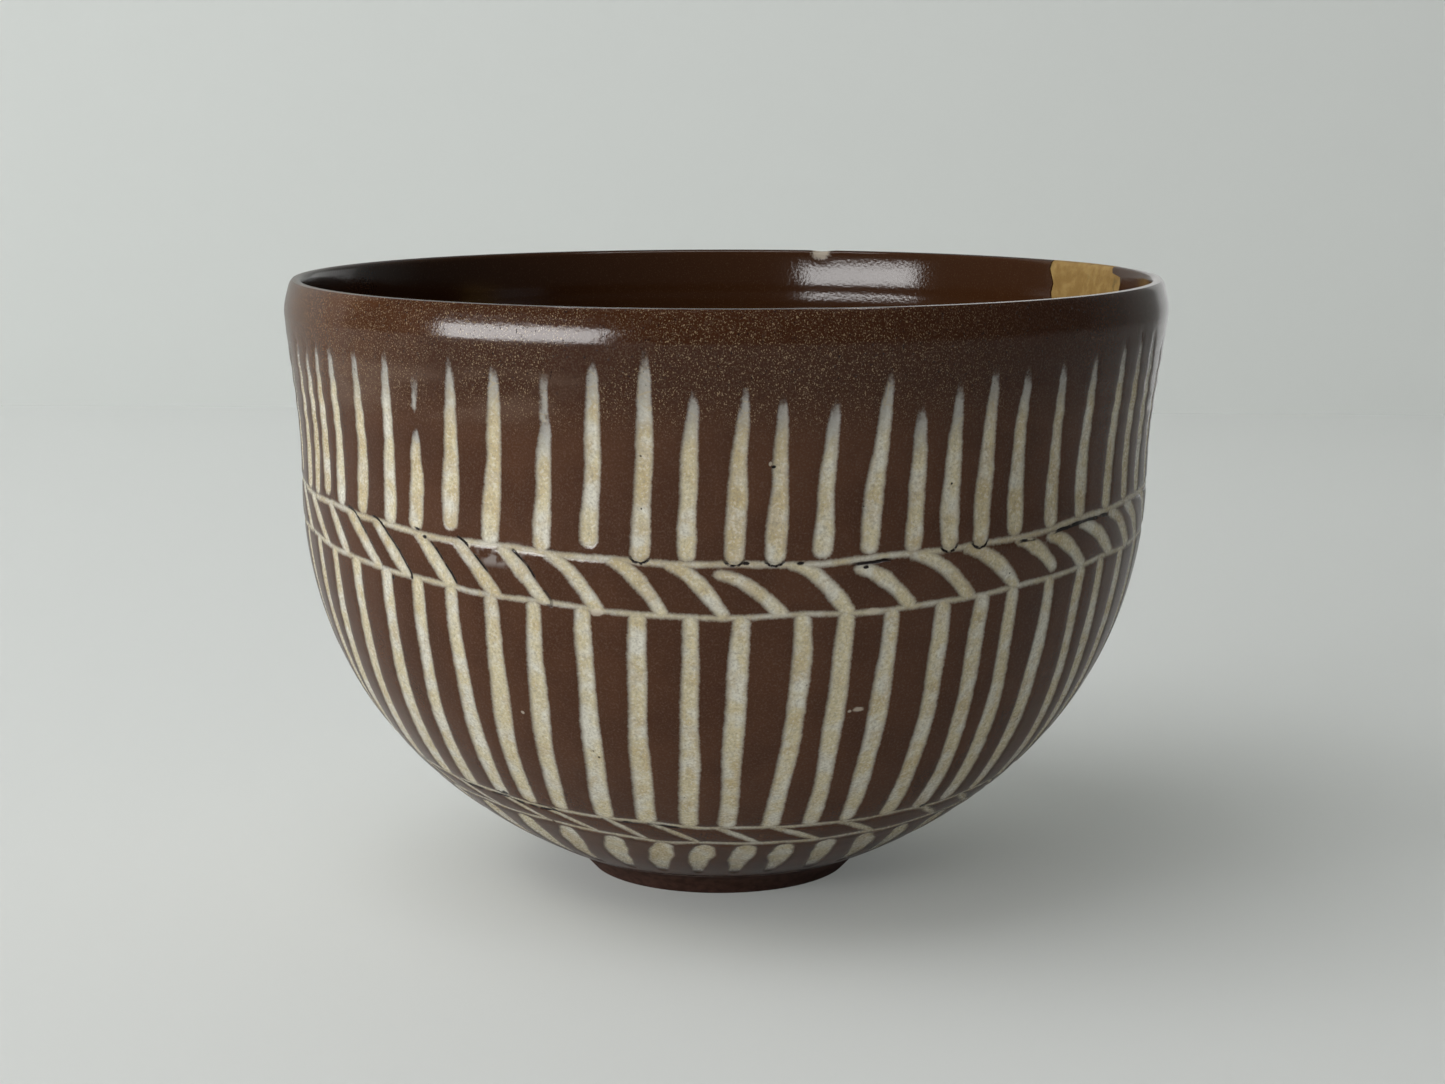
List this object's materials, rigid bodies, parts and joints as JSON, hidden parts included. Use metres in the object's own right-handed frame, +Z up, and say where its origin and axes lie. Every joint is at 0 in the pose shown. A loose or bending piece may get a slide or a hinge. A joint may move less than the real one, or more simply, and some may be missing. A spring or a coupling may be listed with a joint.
{
  "type": "tea bowl",
  "caption": "Thrown stoneware tea bowl on a small foot ring, brown glaze over bands of inlaid pale slip strokes, with a rim chip made good in gilded lacquer.",
  "frame": {"origin": "on the plane the foot ring stands on, under the centre of the rim", "axes": "+Z up through the mouth, -Y towards the side that the picture shows, +X to that side's right"},
  "size_m": [0.1222, 0.1222, 0.084],
  "materials": {
    "glazed_stoneware": "gloss",
    "gilded_lacquer": "satin"
  },
  "bodies": {
    "root": {"bowl": "glazed_stoneware", "gold_repair": "gilded_lacquer"}
  },
  "joints": []
}
